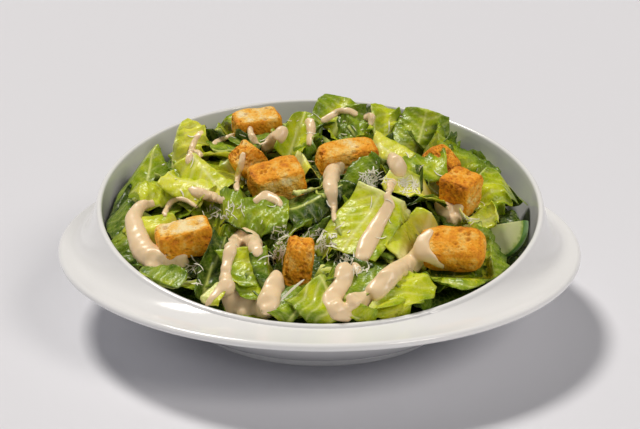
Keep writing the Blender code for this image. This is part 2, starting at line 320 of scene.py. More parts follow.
def leaf_material():
    m = Nodes("romaine_leaf")
    pale, tone, back = m.paint()
    spot = m.attribute("spot", "Vector")
    cells = m.voronoi(spot, 0.42, "DISTANCE_TO_EDGE")
    net = m.math("SUBTRACT", 1.0, m.math("MULTIPLY", cells, 9.0, True), True)
    patched = m.swing(tone, m.noise(spot, 0.13, 2.0), 0.6)
    shade = m.plus(patched, back, -0.14, True)
    green = m.ramp(
        shade,
        (0.0, (0.80, 0.80, 0.08)),
        (0.25, (0.54, 0.60, 0.006)),
        (0.50, (0.23, 0.34, 0.0015)),
        (0.75, (0.065, 0.135, 0.0015)),
        (1.0, (0.010, 0.032, 0.0015)),
    )
    tinted_rib = m.ramp(shade, (0.0, (0.90, 0.89, 0.42)), (1.0, (0.36, 0.48, 0.03)))
    rib = m.mixed(0.5, (0.80, 0.82, 0.24), tinted_rib)
    veins = m.math("MAXIMUM", pale, m.math("MULTIPLY", net, 0.16))
    height = m.plus(m.math("MULTIPLY", cells, 0.7), m.noise(spot, 0.6, 2.0), 0.4)
    height = m.math("SUBTRACT", height, m.math("MULTIPLY", pale, 0.5))
    return m.finish(
        Base_Color=m.mixed(veins, green, rib),
        Roughness=m.plus(0.17, m.noise(spot, 0.3, 2.0), 0.24),
        Specular_IOR_Level=0.27,
        Normal=m.bump(height, 0.0006, 0.55),
        Subsurface_Weight=0.15,
        Subsurface_Radius=(0.6, 1.0, 0.05),
        Subsurface_Scale=0.0012,
    )


def bread_material():
    m = Nodes("toasted_bread")
    brown, pit, _ = m.paint()
    where = m.place()
    fine = m.noise(where, 900.0, 4.0, 0.6)
    blotch = m.noise(where, 160.0, 3.0, 0.55)
    shade = m.swing(m.swing(brown, blotch, 1.15), fine, 0.45, True)
    crust = m.ramp(
        shade,
        (0.0, (0.96, 0.78, 0.42)),
        (0.25, (0.94, 0.57, 0.12)),
        (0.50, (0.92, 0.385, 0.014)),
        (0.75, (0.74, 0.245, 0.008)),
        (1.0, (0.34, 0.10, 0.005)),
    )
    pores = m.math("MULTIPLY", m.voronoi(where, 620.0), 0.6)
    return m.finish(
        # The pits are painted dark brown by their depth: painted shade in the pores.
        Base_Color=m.mixed(m.math("MULTIPLY", pit, 0.50), crust, (0.46, 0.17, 0.02)),
        Roughness=m.plus(0.52, blotch, 0.25),
        Specular_IOR_Level=0.30,
        Normal=m.bump(m.plus(pores, fine, 0.7), 0.0009, 0.9),
        Subsurface_Weight=0.08,
        Subsurface_Radius=(1.0, 0.5, 0.2),
        Subsurface_Scale=0.001,
    )


def porcelain_material():
    m = Nodes("white_glaze")
    where = m.place()
    return m.finish(
        Base_Color=m.mixed(m.noise(where, 14.0, 2.0), (0.85, 0.85, 0.85), (0.81, 0.81, 0.81)),
        Roughness=m.plus(0.13, m.noise(where, 40.0, 2.0), 0.05),
        Normal=m.bump(m.noise(where, 55.0, 2.0), 0.0002, 0.12),
        Coat_Weight=0.2,
        Coat_Roughness=0.10,
    )


def cucumber_material():
    m = Nodes("cucumber_slice")
    out, skin, _ = m.paint()
    where = m.place()
    grain = m.noise(where, 420.0, 3.0)
    flesh = m.ramp(
        m.swing(out, grain, 0.25),
        (0.0, (0.66, 0.70, 0.34)),
        (0.55, (0.78, 0.80, 0.46)),
        (0.86, (0.68, 0.74, 0.34)),
        (0.97, (0.30, 0.44, 0.06)),
    )
    peel = m.mixed(m.noise(where, 260.0, 3.0), (0.05, 0.16, 0.015), (0.14, 0.30, 0.04))
    return m.finish(
        Base_Color=m.mixed(skin, flesh, peel),
        Roughness=0.28,
        Normal=m.bump(grain, 0.0003, 0.4),
        Subsurface_Weight=0.35,
        Subsurface_Radius=(0.8, 1.0, 0.4),
        Subsurface_Scale=0.003,
    )


def dressing_material():
    m = Nodes("creamy_dressing")
    where = m.place()
    return m.finish(
        Base_Color=m.mixed(m.noise(where, 220.0, 3.0), (0.90, 0.70, 0.44), (0.85, 0.63, 0.37)),
        Roughness=m.plus(0.24, m.noise(where, 500.0, 2.0), 0.14),
        Normal=m.bump(m.noise(where, 350.0, 2.0), 0.0003, 0.2),
        Subsurface_Weight=0.25,
        Subsurface_Radius=(1.0, 0.7, 0.45),
        Subsurface_Scale=0.0015,
    )


def parmesan_material():
    m = Nodes("parmesan")
    where = m.place()
    return m.finish(
        Base_Color=m.mixed(m.noise(where, 300.0, 2.0), (0.96, 0.92, 0.74), (0.90, 0.82, 0.58)),
        Roughness=0.5,
        Normal=m.bump(m.noise(where, 1500.0, 3.0), 0.0002, 0.5),
        Subsurface_Weight=0.3,
        Subsurface_Radius=(1.0, 0.8, 0.5),
        Subsurface_Scale=0.001,
    )


# ----- pieces


class Pile:
    """Points, faces and painted values of many small meshes that become one piece."""

    def __init__(self):
        self.points, self.faces, self.paint, self.spots = [], [], [], []
        self.count = 0

    def add(self, points, faces, paint=None, spots=None):
        self.points.append(points)
        self.faces.append(np.asarray(faces) + self.count)
        self.paint.append(paint)
        self.spots.append(spots)
        self.count += len(points)

    def arrays(self):
        return np.vstack(self.points), [list(map(int, f)) for block in self.faces for f in block]


def placed(name, data):
    made = bpy.data.objects.new(name, data)
    bpy.context.scene.collection.objects.link(made)
    return made


def piece(name, points, faces, material, nodes=(), paint=None, spots=None, sharp=None):
    mesh = bpy.data.meshes.new(name)
    faces = faces if isinstance(faces, list) else faces.tolist()
    mesh.from_pydata((np.asarray(points) * MM).tolist(), [], faces)
    if paint is not None:
        layer = mesh.attributes.new("paint", "FLOAT_COLOR", "POINT")
        paint = np.insert(paint, 3, 1.0, axis=1)
        layer.data.foreach_set("color", np.asarray(paint, np.float32).ravel())
    if spots is not None:
        layer = mesh.attributes.new("spot", "FLOAT_VECTOR", "POINT")
        layer.data.foreach_set("vector", np.asarray(spots, np.float32).ravel())
    mesh.validate()
    mesh.shade_smooth()
    if sharp:
        mesh.set_sharp_from_angle(angle=radians(sharp))
    mesh.materials.append(material)
    made = placed(name, mesh)
    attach(made, "root")
    if nodes:
        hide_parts(*nodes)


def lip_height(angle):
    return LIP_MID_HEIGHT + LIP_SLANT * np.sin(angle) + LIP_SADDLE * np.cos(2.0 * angle)


def arc(centre, radius, turns):
    """Points on an arc of the section; 90 degrees is up."""
    across, up = centre
    return [(across + radius * cos(t), up + radius * sin(t)) for t in np.radians(turns)]


def bowl_profile(angle):
    """The bowl's section: up the inner side, over the lip and brim, back to the foot."""
    points = []
    for share in np.linspace(0.0, 1.0, 16):
        height = FLOOR_HEIGHT + BELLY_RISE * share**BELLY_POWER
        points.append((mix(FLOOR_RADIUS, BELLY_RADIUS, share), height))
    half_lip = 0.5 * LIP_THICKNESS
    top = lip_height(angle) - half_lip
    for share in np.linspace(0.08, 1.0, 12):
        radius = mix(BELLY_RADIUS, INNER_LIP_RADIUS, share**WALL_POWER)
        points.append((radius, mix(BELLY_TOP, top, share)))
    points += arc((LIP_OUTER_RADIUS - half_lip, top), half_lip, np.linspace(150.0, 30.0, 7))
    half_brim = 0.5 * BRIM_THICKNESS
    edge = RIM_RADIUS - half_brim
    side_top = max(top, RIM_HEIGHT - half_lip)
    for share in np.linspace(0.0, 1.0, 26) ** 1.3:
        rise = (side_top - RIM_HEIGHT) * (1.0 - share) ** FLARE_POWER
        height = RIM_HEIGHT + rise - BRIM_DISH * sin(pi * share)
        points.append((mix(LIP_OUTER_RADIUS, edge, share), height))
    points += arc((edge, RIM_HEIGHT - half_brim), half_brim, np.linspace(72.0, -90.0, 10))
    points.append((UNDER_RADIUS + 12.0, RIM_HEIGHT - 1.1 * BRIM_THICKNESS))
    points.append((UNDER_RADIUS + 6.0, RIM_HEIGHT - 1.2 * BRIM_THICKNESS))
    for share in np.linspace(1.0, 0.0, 16):
        height = UNDER_FOOT_HEIGHT + UNDER_RISE * share**BELLY_POWER
        points.append((mix(UNDER_FOOT_RADIUS, UNDER_RADIUS, share), height))
    outer, inner = FOOT_RADIUS, FOOT_RADIUS - FOOT_WIDTH
    points += [(outer - 0.4, 3.1), (outer, 2.5), (outer, 0.5), (outer - 0.2, 0.12)]
    points += [(outer - 0.6, 0.0), (inner + 0.6, 0.0), (inner + 0.1, 0.2), (inner, 0.6)]
    points += [(inner - 1.2, FOOT_RECESS), (inner - 30.0, FOOT_RECESS)]
    return points


def swept_round(section_at, turns):
    """Points and quads of a section swept round the upright axis, and the section's size."""
    angles = 2.0 * pi * np.arange(turns) / turns
    rings = [[(r * cos(a), r * sin(a), z) for r, z in section_at(a)] for a in angles]
    size = len(rings[0])
    faces = []
    for turn in range(turns):
        here, beside = turn * size, (turn + 1) % turns * size
        for step in range(size - 1):
            faces.append([here + step, here + step + 1, beside + step + 1, beside + step])
    return [point for ring in rings for point in ring], faces, size


def make_bowl():
    points, faces, size = swept_round(bowl_profile, BOWL_TURNS)
    floor, underside = len(points), len(points) + 1
    points += [(0.0, 0.0, FLOOR_HEIGHT), (0.0, 0.0, FOOT_RECESS)]
    for here in range(0, floor, size):
        beside = (here + size) % floor
        faces.append([floor, here, beside])
        faces.append([underside, beside + size - 1, here + size - 1])
    piece("bowl_glazed", points, faces, porcelain_material(), ["bowl"], sharp=50.0)


def wall_radius(angle, z):
    """The radius of the bowl's inner side at these angles and heights, as arrays."""
    top = lip_height(angle) - 0.5 * LIP_THICKNESS
    share = np.clip((z - FLOOR_HEIGHT) / BELLY_RISE, 0.0, 1.0) ** (1.0 / BELLY_POWER)
    belly = mix(FLOOR_RADIUS, BELLY_RADIUS, share)
    up = np.clip((z - BELLY_TOP) / np.maximum(top - BELLY_TOP, 1.0), 0.0, 1.0) ** WALL_POWER
    wall = mix(BELLY_RADIUS, INNER_LIP_RADIUS, up)
    return np.where(z < BELLY_TOP, belly, wall) + np.clip(z - top, 0.0, 6.0) * 0.3


def mound_height(x, y):
    """The smooth mound that the leaves follow."""
    out = np.minimum(1.0, np.hypot(x, y) / INNER_LIP_RADIUS)
    frontness = np.clip(-y / INNER_LIP_RADIUS, 0.0, 1.0)
    dip = np.clip((out - HEAP_EDGE_START) / (1.0 - HEAP_EDGE_START), 0.0, 1.0) ** 1.5
    slant = LIP_MID_HEIGHT + LIP_SLANT * y / LIP_OUTER_RADIUS
    return slant + HEAP_CROWN * (1.0 - out * out) - HEAP_EDGE_DROP * (1.0 - frontness) * dip


def turned(x=0.0, y=0.0, z=0.0):
    return np.array(Euler((radians(x), radians(y), radians(z))).to_matrix())


def facing(spin, pitch, yaw, heading=0.0):
    """Axes (across, along, face) as columns of a leaf that faces the given side."""
    down = radians(CAMERA_DOWN)
    view = np.array([[1, 0, 0], [0, sin(down), -cos(down)], [0, cos(down), sin(down)]])
    return turned(z=heading) @ view @ turned(x=-pitch) @ turned(y=yaw) @ turned(z=spin - 90.0)


def grid_faces(rows, columns):
    """Quads of a sheet's two sides and its rim; the second side's points follow the first's."""
    index = np.arange(rows * columns).reshape(rows, columns)
    a, b = index[:-1, :-1].ravel(), index[:-1, 1:].ravel()
    c, d = index[1:, 1:].ravel(), index[1:, :-1].ravel()
    top = np.stack([a, b, c, d], axis=1)
    other = rows * columns
    bottom = top[:, ::-1] + other
    rim = np.concatenate([index[0, :], index[1:, -1], index[-1, -2::-1], index[-2:0:-1, 0]])
    after = np.roll(rim, -1)
    sides = np.stack([after, rim, rim + other, after + other], axis=1)
    return np.vstack([top, bottom, sides])


def bent(flat, height, degrees, span):
    """Rolls a direction of a sheet along a circle: (flat', height')."""
    if abs(degrees) < 1.0:
        return flat, height
    radius = span / radians(degrees)
    angle = flat / radius
    return (radius - height) * np.sin(angle), radius - (radius - height) * np.cos(angle)


def leaf(size, style, tone, seed, step):
    """A cut piece of romaine lying flat: points (mm), faces, paint and leaf coordinates."""
    chance = np.random.default_rng(seed)
    length, width = size
    look = dict(zip(STYLE_KEYS, STYLES[style.rstrip("+")]))
    columns = max(7, int(width / step) | 1)
    rows = max(8, int(length / step))
    u = np.linspace(-1.0, 1.0, columns)[None, :] * np.ones((rows, 1))
    v = np.linspace(0.0, 1.0, rows)[:, None] * np.ones((1, columns))
    # The outline.
    half = 0.5 * width * (1.0 - look["tip"] * v**2.2) * (0.95 + 0.05 * np.sin(pi * v))
    grown = smooth_step(u * 2.0)
    side_noise = ripples(v * length, 14.0, chance)
    frill = 0.07 * side_noise + 0.012 * ripples(v * length, 5.5, chance)
    x = u * half * (1.0 + frill * (0.15 + 0.85 * grown) * min(1.0, look["ruffle"]))
    rib_at = chance.choice(look["at"]) * 0.5 * width
    lean_low, lean_high = chance.uniform(-0.35, 0.35, 2)
    if look["cut"]:
        lean_low, lean_high = 0.04, 0.12
    low = -0.5 * length + lean_low * x + 0.25 * ripples(x, 9.0, chance)
    rounding = max(0.0, look["tip"]) * 0.35 * length * np.abs(u) ** 2.2
    high = 0.5 * length + lean_high * x - rounding + 0.3 * ripples(x, 8.0, chance)
    y = low + (high - low) * v

    # The rib and its side veins: reach counts the veins along the leaf.
    off_rib = x - rib_at - 0.6 * ripples(y, 30.0, chance)
    left_shift = chance.uniform(0, 1) * look["vein"]
    reach = y - 0.62 * np.abs(off_rib) + np.where(off_rib < 0, left_shift, 0.0)
    reach = (reach + 1.1 * waves(x, y, 16.0, chance)) / look["vein"]
    off_vein = np.abs(reach - np.round(reach)) * look["vein"] / look["thick"]
    side_vein = np.exp(-(off_vein**2)) * smooth_step(np.abs(off_rib) / 2.0 + 0.2)
    rib_half = look["rib"] * mix(1.0, 0.30, v)
    rib = 1.0 / (1.0 + (np.abs(off_rib) / rib_half) ** 4)

    # Blisters between the veins, the fold along the rib, ruffled sides.
    puff = np.sin(pi * np.abs(reach - np.floor(reach))) ** 0.8
    crumple = waves(x * 0.8 + reach * 2.0, reach * 7.0, 8.0, chance) * 0.6
    crumple = crumple + waves(x, y, 4.2, chance) * 0.4
    blister = puff * (0.7 + 0.5 * crumple) + 0.75 * crumple
    z = look["blister"] * blister * (1.0 - 0.7 * rib) + 0.5 * rib
    z = z + look["fold"] * (np.sqrt(off_rib**2 + 6.0) - 2.45) * chance.choice([-1.0, 1.0])
    phase = 2.0 * pi * v * length / chance.uniform(8.0, 13.0)
    ripple = np.sin(phase + np.where(u < 0, 0.0, 2.0) + 1.6 * side_noise)
    z = z + look["ruffle"] * np.abs(u) ** 2.4 * ripple * (0.25 + 0.75 * grown)
    z = z + 1.4 * waves(x, y, 26.0, chance)

    # The bends and a twist of the whole piece.
    across = look["across"] * chance.uniform(0.6, 1.4)
    along = look["along"] * chance.uniform(0.7, 1.3)
    bx, z = bent(x, z, across, width)
    by, z = bent(y, z, along, length)
    twist = radians(chance.uniform(-14.0, 14.0)) * (v - 0.5) * 2.0
    bx, z = bx * np.cos(twist) - z * np.sin(twist), bx * np.sin(twist) + z * np.cos(twist)
    top = np.stack([bx, by, z], axis=-1)
    normal = np.cross(np.gradient(top, axis=1), np.gradient(top, axis=0))
    normal /= np.maximum(np.linalg.norm(normal, axis=-1, keepdims=True), 1e-9)
    thick = 0.42 + 0.5 * look["rib"] * rib * mix(1.0, 0.5, v)
    under = top - normal * thick[..., None]
    points = np.vstack([top.reshape(-1, 3), under.reshape(-1, 3)])
    points -= points.mean(axis=0)

    pale = np.maximum(rib, look["pale"] * side_vein * (1.0 - 0.45 * np.abs(u)))
    pale = np.maximum(pale, look["cut"] * smooth_step(1.0 - (v - 0.03) / 0.05))
    green = tone + 0.22 * (np.abs(u) - 0.55) + 0.10 * (v - 0.5) + 0.05 * crumple
    paint = np.stack([pale, np.clip(green, 0.0, 1.0), 0.0 * pale], axis=-1).reshape(-1, 3)
    behind = paint.copy()
    behind[:, 2] = 1.0
    spots = np.stack([x, y, np.full_like(x, seed * 7.0)], axis=-1).reshape(-1, 3)
    paint, spots = np.vstack([paint, behind]), np.vstack([spots, spots])
    return points, grid_faces(rows, columns), paint, spots


def crouton_frames():
    """Centre, turned axes and half size of every crouton."""
    found = {}
    for name, (size, turns, _) in CROUTONS.items():
        low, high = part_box(name)
        centre = np.array((low + high) / 2.0) / MM
        found[name] = (centre, turned(*turns), np.array(size) / 2.0)
    return found


def pressed(points, croutons, cucumber):
    """Leaf points pushed down where a crouton or the cucumber slice lies in the heap."""
    for centre, axes, half in croutons:
        local = (points - centre) @ axes
        beyond = np.max(np.abs(local[:, :2]) - half[:2], axis=1)
        limit = -half[2] - 0.5 + 1.7 * np.maximum(0.0, beyond - 0.6)
        over = local[:, 2] - limit
        near = (beyond < 9.0) & (over > -1.0)
        down = np.where(near, np.maximum(over, 0.0) + 0.35 * np.exp(-np.abs(over)), 0.0)
        local[:, 2] -= down
        points = local @ axes.T + centre
    centre, axes = cucumber
    local = (points - centre) @ axes
    gap = 0.5 * CUCUMBER_THICKNESS + 1.2
    out = np.hypot(local[:, 0], np.minimum(local[:, 2], 0.0))
    inside = (out < CUCUMBER_RADIUS + 1.0) & (local[:, 2] < 3.0) & (np.abs(local[:, 1]) < gap)
    side = np.where(local[:, 1] < 0.0, -1.0, 1.0)
    local[:, 1] = np.where(inside, side * gap, local[:, 1])
    return local @ axes.T + centre


def levelled(values, limit, slack, softness):
    """Values over the limit squeezed into the slack above it."""
    over = values - limit
    return np.where(over > 0.0, limit + slack * np.tanh(over / softness), values)


def kept_in_bowl(points):
    """Leaf points pressed against the wall, the floor and under the top of the heap."""
    radius = np.hypot(points[:, 0], points[:, 1])
    wall = wall_radius(np.arctan2(points[:, 1], points[:, 0]), points[:, 2])
    inward = levelled(radius, wall - WALL_GAP, 1.5, 6.0) / radius
    points = points * np.stack([inward, inward, np.ones_like(radius)], axis=1)
    x, y, z = points.T
    z = np.maximum(z, FLOOR_HEIGHT + 2.0)
    middle = np.maximum(0.0, 0.93 - np.clip(np.hypot(x, y) / INNER_LIP_RADIUS, 0.0, 1.0))
    z = levelled(z, mound_height(x, y) + EDGE_ROOF + 70.0 * middle, 2.0, 8.0)
    return np.stack([x, y, levelled(z, TOP_SOFT, 4.0, 8.0)], axis=1)


def make_leaves(croutons, cucumber, material):
    piles = {"romaine_hearts": Pile(), "romaine_greens": Pile(), "romaine_inner": Pile()}
    chance = np.random.default_rng(FILLER_SEED)
    for number in range(FILLERS):
        reach = FILLER_REACH * ((number + 0.5) / FILLERS) ** 0.5
        angle = number * GOLDEN_TURN + chance.uniform(-0.2, 0.2)
        x, y = reach * cos(angle), reach * sin(angle)
        size = (chance.uniform(26, 42), chance.uniform(18, 32))
        # Dark tones here are partly painted shade in the gaps under the top leaves.
        tone = chance.choice(FILLER_TONES) + chance.uniform(-0.06, 0.06)
        style = FILLER_STYLES[chance.integers(len(FILLER_STYLES))]
        heading = np.degrees(angle) + 90.0 + chance.uniform(-70, 70)
        turns = (chance.uniform(0, 360), chance.uniform(30, 80), chance.uniform(-30, 30))
        points, faces, paint, spots = leaf(size, style, tone, 1000 + number, FILLER_STEP)
        centre = np.array([x, y, mound_height(x, y) - chance.uniform(4.0, 9.0)])
        points = pressed(points @ facing(*turns, heading).T + centre, croutons, cucumber)
        piles["romaine_inner"].add(kept_in_bowl(points), faces, paint, spots)
    for number, (centre, size, turns, tone, style) in enumerate(LEAVES):
        points, faces, paint, spots = leaf(size, style, tone, 50 + number, LEAF_STEP)
        points = points @ facing(*turns).T + np.array(centre, float)
        if not style.endswith("+"):
            points = pressed(points, croutons, cucumber)
        pile = "romaine_hearts" if tone < HEART_TONE else "romaine_greens"
        piles[pile].add(kept_in_bowl(points), faces, paint, spots)
    for name, pile in piles.items():
        points, faces = pile.arrays()
        paint, spots = np.vstack(pile.paint), np.vstack(pile.spots)
        piece(name, points, faces, material, ["salad_heap"], paint, spots)
    return piles


def make_core(material):
    """The inside of the heap, seen only deep between the leaves, painted dark as shade."""
    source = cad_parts["salad_heap"].data
    points = np.array([vertex.co for vertex in source.vertices], np.float32) / MM
    faces = [list(polygon.vertices) for polygon in source.polygons]
    high = smooth_step((points[:, 2] - 20.0) / 25.0)
    points[:, :2] *= CORE_SHRINK
    points[:, 2] = np.maximum(points[:, 2] - CORE_DROP * high, FLOOR_HEIGHT + 1.0)
    # Dark green all over: painted shade for the depths of the heap.
    paint = np.tile([0.0, CORE_SHADE_TONE, 0.0], (len(points), 1))
    piece("salad_core", points, faces, material, ["salad_heap"], paint, points)
    return points, faces


def cube_grid(cuts):
    """Points of a cube from -1 to 1 and its quads, sides joined at the edges."""
    line = np.linspace(-1.0, 1.0, cuts + 1)
    a, b = np.meshgrid(line, line, indexing="ij")
    points, faces = [], []
    index = np.arange((cuts + 1) ** 2).reshape(cuts + 1, cuts + 1)
    corners = [index[:-1, :-1], index[1:, :-1], index[1:, 1:], index[:-1, 1:]]
    quads = np.stack(corners, axis=-1).reshape(-1, 4)
    for axis in range(3):
        for side in (-1.0, 1.0):
            face = np.empty(a.shape + (3,))
            face[..., axis] = side
            face[..., (axis + 1) % 3] = a
            face[..., (axis + 2) % 3] = b
            faces.append((quads if side > 0 else quads[:, ::-1]) + sum(len(p) for p in points))
            points.append(face.reshape(-1, 3))
    points, faces = np.vstack(points), np.vstack(faces)
    places = np.round(points, 6)
    _, first, joined = np.unique(places, axis=0, return_index=True, return_inverse=True)
    return points[first], joined.reshape(-1)[faces]


def make_croutons(croutons, material):
    """Rounded, lumpy blocks of bread with open pores."""
    cube, quads = cube_grid(CROUTON_CUTS)
    made = []
    for seed, (name, (centre, axes, half)) in enumerate(croutons.items()):
        chance = np.random.default_rng(300 + seed)
        top, front, right, left, underside = CROUTONS[name][2]
        power = SQUARENESS.get(name, USUAL_SQUARENESS)
        total = (np.abs(cube) ** power).sum(axis=1)
        unit = cube * (np.abs(cube).max(axis=1) / total ** (1.0 / power))[:, None]
        spot = unit * half
        out = unit / np.linalg.norm(unit, axis=1, keepdims=True)
        face = np.abs(unit) ** 12
        face /= face.sum(axis=1, keepdims=True)
        edge = 1.0 - face.max(axis=1)
        outward = np.sign(unit) * face
        outward /= np.linalg.norm(outward, axis=1, keepdims=True)
        x, y, z = spot.T
        lump = waves(x + z * 0.7, y - z * 0.6, 11.0, chance)
        grit = waves(x - z, y + z, 2.0, chance, 11)
        move = 0.45 * lump + 0.10 * grit - 0.35 * edge
        pores = cube[chance.integers(len(cube), size=CROUTON_PORES)] * half * 0.99
        radii = 0.30 + 1.1 * chance.uniform(0, 1, len(pores)) ** 5
        near = np.linalg.norm(spot[:, None, :] - pores[None, :, :], axis=2) / radii
        pit = (smooth_step(1.3 - near) * np.minimum(1.1, 0.45 + radii * 0.6)).max(axis=1)
        points = spot + out * move[:, None] - outward * pit[:, None]
        # Each face's brownness from the table: the toast's colour plus painted light and shade on
        # that face.
        shade = (
            face[:, 2] * np.where(unit[:, 2] > 0, top, underside)
            + face[:, 1] * np.where(unit[:, 1] < 0, front, 0.5)
            + face[:, 0] * np.where(unit[:, 0] > 0, right, left)
        )
        shade = shade + 0.42 * edge + 0.10 * lump - 0.05 * grit
        # The pit depth goes to the second channel, which paints shade into the pores.
        paint = np.stack([np.clip(shade, 0, 1), pit, 0 * pit], axis=1)
        world = points @ axes.T + centre
        piece(name + "_bread", world, quads, material, [name], paint)
        made.append((world, quads))
    return made


def make_cucumber(centre, axes, material):
    """Half a slice on its round skin: sections across the thickness, worn at the corners."""
    cut = [(t, 0.0) for t in np.linspace(1.0, -1.0, 24)[1:-1]]
    skin = [(cos(a), sin(a)) for a in np.linspace(-pi, 0.0, 64)]
    outline = skin + cut
    size = len(outline)
    points, faces, paint = [], [], []
    for turn in np.radians(np.linspace(-90.0, 90.0, 13)):
        radius = CUCUMBER_RADIUS * (1.0 - 0.045 * (1.0 - cos(turn)))
        level = 0.5 * CUCUMBER_THICKNESS * sin(turn)
        points += [(x * radius, level, z * radius) for x, z in outline]
        paint += [(1.0, 1.0, 0.0)] * len(skin) + [(abs(t), 0.0, 0.0) for t, _ in cut]

    def join(low, high):
        for at in range(size):
            after = (at + 1) % size
            faces.append([low[at], low[after], high[after], high[at]])

    def ring(start):
        return list(range(start, start + size))

    rings = [ring(start) for start in range(0, len(points), size)]
    for low, high in zip(rings, rings[1:]):
        join(low, high)
    middle = -0.42
    for last, flip in ((rings[0], True), (rings[-1], False)):
        level = points[last[0]][1]
        for inset in CUCUMBER_INSETS:
            new = ring(len(points))
            for x, z in outline:
                x, z = x * inset, middle + (z - middle) * inset
                points.append((x * CUCUMBER_RADIUS, level, z * CUCUMBER_RADIUS))
                paint.append((np.hypot(x, z), 0.0, 0.0))
            join(*((new, last) if flip else (last, new)))
            last = new
        faces.append(last[::-1] if flip else last)
    points = np.array(points)
    points[:, 1] += 0.15 * np.sin(points[:, 0] * 0.5)
    points, paint = points @ axes.T + centre, np.array(paint)
    node = ["cucumber_slice"]
    piece("cucumber_half", points, faces, material, node, paint, sharp=40.0)
    return points, faces


# ----- dressing and cheese

# Dressing is balls melted together: their spacing along a strand, how many and how large
# they are for wide and thin strands, then the voxel size and smoothing of the melt.
BALL_STEP = 0.7
BALLS_WIDE, BALLS_THIN, WIDE_HALF = 20, 9, 3.0
BALL_LEAST, BALL_SHARE = 1.05, 0.47
MELT_VOXEL = 0.6
MELT_SMOOTHING = 34

# Strands of dressing: places (x, y) on the salad with the strand's half width there.
STRANDS = {
    "left_hook": [
        (-84, -23, 2.2), (-91, -19, 2.8), (-94, -27, 3.8), (-90, -43, 4.5), (-86, -56, 5.2),
        (-79, -66, 5.5), (-71, -72, 5.0), (-65, -71, 3.5),
    ],
    "left_loop": [
        (-77, -37, 1.8), (-76, -30, 1.5), (-73, -26, 1.3), (-68, -27, 1.2), (-61, -36, 1.0),
    ],
    "left_band": [(-65, -20, 2.5), (-56, -27, 3.0), (-48, -33, 2.0)],
    "under_crouton_3": [(-32, -36, 2.0), (-27, -31, 3.0), (-22, -35, 2.5), (-19, -40, 1.5)],
    "beside_crouton_3": [(-40, 12, 1.5), (-41, -2, 1.8), (-42, -16, 1.7), (-42, -25, 1.5)],
    "back_left_thin": [(-57, 28, 1.5), (-51, 34, 1.3), (-46, 38, 1.1)],
    "behind_crouton_2": [(-38, 45, 1.5), (-37, 33, 2.2), (-34, 24, 2.0)],
    "on_left_rib": [(-64, 47, 1.8), (-67, 39, 1.5), (-68, 24, 2.0), (-69, 9, 1.8)],
    "left_drop": [(-65, 20, 1.8), (-62, 15, 2.0)],
    "under_crouton_1": [(-29, 18, 3.0), (-24, 25, 4.2), (-20, 38, 3.0)],
    "back_drop": [(-6, 52, 2.8), (-5, 37, 2.5), (-6, 20, 1.5)],
    "back_arch": [(1, 52, 2.0), (5, 59, 2.0), (10, 70, 1.9), (15, 72, 2.0), (20, 64, 2.0)],
    "back_blob": [(24, 61, 2.0), (28, 64, 2.5), (27, 50, 1.5)],
    "under_crouton_4": [
        (10, -4, 3.0), (6, -12, 4.2), (5, -23, 3.5), (6, -34, 2.8), (7, -45, 2.0), (7, -53, 1.2),
    ],
    "on_heart_leaf": [
        (35, -36, 2.8), (30, -49, 3.2), (26, -60, 3.8), (22, -71, 4.2), (20, -78, 3.5),
    ],
    "below_heart_leaf": [(16, -84, 3.0), (19, -87, 2.0)],
    "right_of_crouton_4": [(37, 10, 2.5), (39, 2, 4.2), (41, -5, 3.5)],
    "small_right": [(36, -17, 2.8), (35, -24, 2.2), (33, -32, 1.8)],
    "under_crouton_6": [(58, -32, 2.2), (62, -37, 4.2), (67, -39, 4.0), (65, -46, 3.0)],
    "beside_crouton_6": [(67, -37, 3.0), (70, -31, 2.5)],
    "right_front": [
        (54, -55, 2.0), (49, -63, 3.0), (49, -69, 4.0), (45, -77, 4.5), (40, -81, 4.2),
        (35, -85, 4.2), (30, -92, 4.5), (25, -99, 4.2), (21, -105, 4.5), (15, -105, 4.0),
    ],
    "under_crouton_9": [(49, -70, 3.5), (55, -74, 2.5), (59, -76, 1.5)],
    "front_v": [
        (12, -86, 4.2), (11, -93, 4.0), (8, -99, 3.8), (5, -105, 4.0), (8, -111, 4.2),
        (13, -116, 3.0),
    ],
    "front_peak": [(-39, -64, 2.5), (-37, -60, 3.0), (-32, -67, 4.2), (-29, -75, 2.5)],
    "front_left": [
        (-36, -62, 3.5), (-41, -67, 4.0), (-43, -73, 3.0), (-44, -82, 2.5), (-44, -89, 3.0),
        (-41, -99, 4.0), (-38, -106, 5.5), (-33, -110, 6.0), (-27, -112, 5.0), (-23, -106, 5.0),
        (-21, -97, 4.6), (-20, -90, 3.4),
    ],
    "front_tail": [(-43, -87, 2.5), (-46, -93, 2.2), (-49, -98, 1.8), (-52, -106, 1.2)],
}

# Cheese: where a cluster of shreds lies (x, y), how far it spreads, how many shreds.
SHREDS = [
    (-47, -42, 10, 5, 30),
    (-17, -66, 6, 10, 60),
    (-1, -67, 9, 7, 70),
    (9, -79, 6, 3, 25),
    (27, -14, 6, 7, 55),
    (45, -21, 5, 9, 45),
    (74, -39, 3, 3, 10),
    (62, -77, 9, 3, 18),
    (-60, -83, 4, 9, 25),
    (-22, -79, 5, 4, 15),
    (20, -86, 5, 2, 12),
    (0, 0, 85, 75, 70),
]
SHREDS_REACH = 106.0
# The ends of the one long shred at the front.
LONG_SHRED = [(-18, -105), (-7, -92)]


def surface_tree(blocks):
    points, faces, count = [], [], 0
    for block_points, block_faces in blocks:
        points.append(np.asarray(block_points))
        faces += [[index + count for index in face] for face in block_faces]
        count += len(block_points)
    return BVHTree.FromPolygons(np.vstack(points).tolist(), faces)


# Dressing and cheese lie on what a line from here first meets, mm.
EYE = np.array(CAMERA_AT) / MM
VIEW_UP = np.array([0.0, sin(radians(CAMERA_DOWN)), cos(radians(CAMERA_DOWN))])
VIEW_RIGHT = np.array([1.0, 0.0, 0.0])


def over_mound(x, y):
    return x, y, mound_height(x, y) + 4.0


